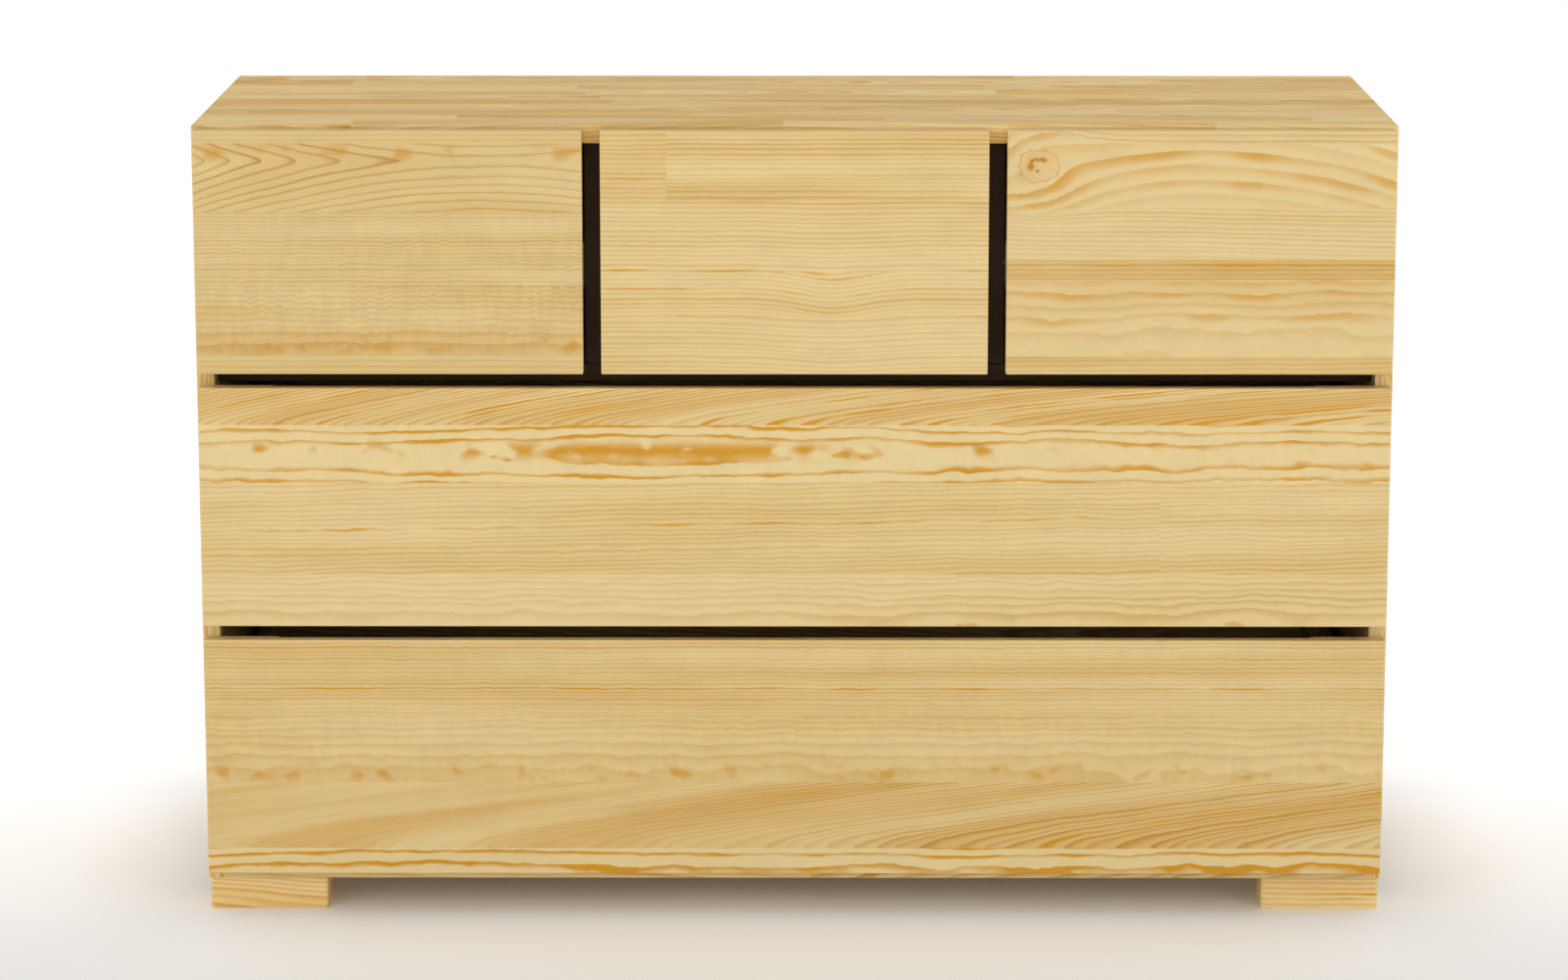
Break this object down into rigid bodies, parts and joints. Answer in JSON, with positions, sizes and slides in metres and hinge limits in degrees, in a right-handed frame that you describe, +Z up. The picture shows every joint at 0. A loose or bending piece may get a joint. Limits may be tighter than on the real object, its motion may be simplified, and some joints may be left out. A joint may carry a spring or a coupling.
{
  "type": "dresser with drawers",
  "caption": "Low, wide pine chest of drawers with handleless overlay fronts, shadow gaps as finger grips, full-extension runners and flat block feet.",
  "frame": {"origin": "on the floor, at the middle of the footprint", "axes": "+X to the right seen from the front, -Y out of the drawer fronts, +Z up"},
  "size_m": [1.2, 0.45, 0.81],
  "materials": {
    "pine_front": "clear satin lacquer on solid pine",
    "pine_carcass": "clear satin lacquer on edge-glued pine",
    "pine_box": "sanded pine",
    "plywood": "sanded plywood",
    "beech": "plain beech",
    "zinc_steel": "bright zinc plate"
  },
  "bodies": {
    "carcass": {"carcass_side_left": "pine_carcass", "carcass_side_right": "pine_carcass", "top_panel": "pine_carcass", "bottom_panel": "pine_carcass", "divider_shelf": "pine_carcass", "partition_left": "pine_carcass", "partition_right": "pine_carcass", "back_panel": "plywood", "foot_front_left": "pine_carcass", "foot_front_right": "pine_carcass", "foot_rear_left": "pine_carcass", "foot_rear_right": "pine_carcass", "carcass_dowels": "beech", "runner_screws": "zinc_steel", "foot_screws": "zinc_steel", "upper_left_runner_outer": "zinc_steel", "upper_centre_runner_outer": "zinc_steel", "upper_right_runner_outer": "zinc_steel", "middle_runner_outer": "zinc_steel", "lower_runner_outer": "zinc_steel"},
    "upper_left_drawer": {"upper_left_drawer_front": "pine_front", "upper_left_drawer_side_left": "pine_box", "upper_left_drawer_side_right": "pine_box", "upper_left_drawer_back": "pine_box", "upper_left_drawer_bottom": "plywood", "upper_left_drawer_screws": "zinc_steel", "upper_left_runner_inner": "zinc_steel"},
    "upper_left_runner": {"upper_left_runner_middle": "zinc_steel"},
    "upper_centre_drawer": {"upper_centre_drawer_front": "pine_front", "upper_centre_drawer_side_left": "pine_box", "upper_centre_drawer_side_right": "pine_box", "upper_centre_drawer_back": "pine_box", "upper_centre_drawer_bottom": "plywood", "upper_centre_drawer_screws": "zinc_steel", "upper_centre_runner_inner": "zinc_steel"},
    "upper_centre_runner": {"upper_centre_runner_middle": "zinc_steel"},
    "upper_right_drawer": {"upper_right_drawer_front": "pine_front", "upper_right_drawer_side_left": "pine_box", "upper_right_drawer_side_right": "pine_box", "upper_right_drawer_back": "pine_box", "upper_right_drawer_bottom": "plywood", "upper_right_drawer_screws": "zinc_steel", "upper_right_runner_inner": "zinc_steel"},
    "upper_right_runner": {"upper_right_runner_middle": "zinc_steel"},
    "middle_drawer": {"middle_drawer_front": "pine_front", "middle_drawer_side_left": "pine_box", "middle_drawer_side_right": "pine_box", "middle_drawer_back": "pine_box", "middle_drawer_bottom": "plywood", "middle_drawer_screws": "zinc_steel", "middle_runner_inner": "zinc_steel"},
    "middle_runner": {"middle_runner_middle": "zinc_steel"},
    "lower_drawer": {"lower_drawer_front": "pine_front", "lower_drawer_side_left": "pine_box", "lower_drawer_side_right": "pine_box", "lower_drawer_back": "pine_box", "lower_drawer_bottom": "plywood", "lower_drawer_screws": "zinc_steel", "lower_runner_inner": "zinc_steel"},
    "lower_runner": {"lower_runner_middle": "zinc_steel"}
  },
  "joints": [
    {"name": "upper_left_slide", "type": "slide", "parent": "carcass", "child": "upper_left_drawer", "axis": [0, -1, 0], "range_m": [0, 0.4]},
    {"name": "upper_left_runner_slide", "type": "slide", "parent": "carcass", "child": "upper_left_runner", "axis": [0, -1, 0], "range_m": [0, 0.2]},
    {"name": "upper_centre_slide", "type": "slide", "parent": "carcass", "child": "upper_centre_drawer", "axis": [0, -1, 0], "range_m": [0, 0.4]},
    {"name": "upper_centre_runner_slide", "type": "slide", "parent": "carcass", "child": "upper_centre_runner", "axis": [0, -1, 0], "range_m": [0, 0.2]},
    {"name": "upper_right_slide", "type": "slide", "parent": "carcass", "child": "upper_right_drawer", "axis": [0, -1, 0], "range_m": [0, 0.4]},
    {"name": "upper_right_runner_slide", "type": "slide", "parent": "carcass", "child": "upper_right_runner", "axis": [0, -1, 0], "range_m": [0, 0.2]},
    {"name": "middle_slide", "type": "slide", "parent": "carcass", "child": "middle_drawer", "axis": [0, -1, 0], "range_m": [0, 0.4]},
    {"name": "middle_runner_slide", "type": "slide", "parent": "carcass", "child": "middle_runner", "axis": [0, -1, 0], "range_m": [0, 0.2]},
    {"name": "lower_slide", "type": "slide", "parent": "carcass", "child": "lower_drawer", "axis": [0, -1, 0], "range_m": [0, 0.4]},
    {"name": "lower_runner_slide", "type": "slide", "parent": "carcass", "child": "lower_runner", "axis": [0, -1, 0], "range_m": [0, 0.2]}
  ],
  "couplings": [
    {"joint": "upper_left_runner_slide", "follows": "upper_left_slide", "ratio": 0.5},
    {"joint": "upper_centre_runner_slide", "follows": "upper_centre_slide", "ratio": 0.5},
    {"joint": "upper_right_runner_slide", "follows": "upper_right_slide", "ratio": 0.5},
    {"joint": "middle_runner_slide", "follows": "middle_slide", "ratio": 0.5},
    {"joint": "lower_runner_slide", "follows": "lower_slide", "ratio": 0.5}
  ]
}
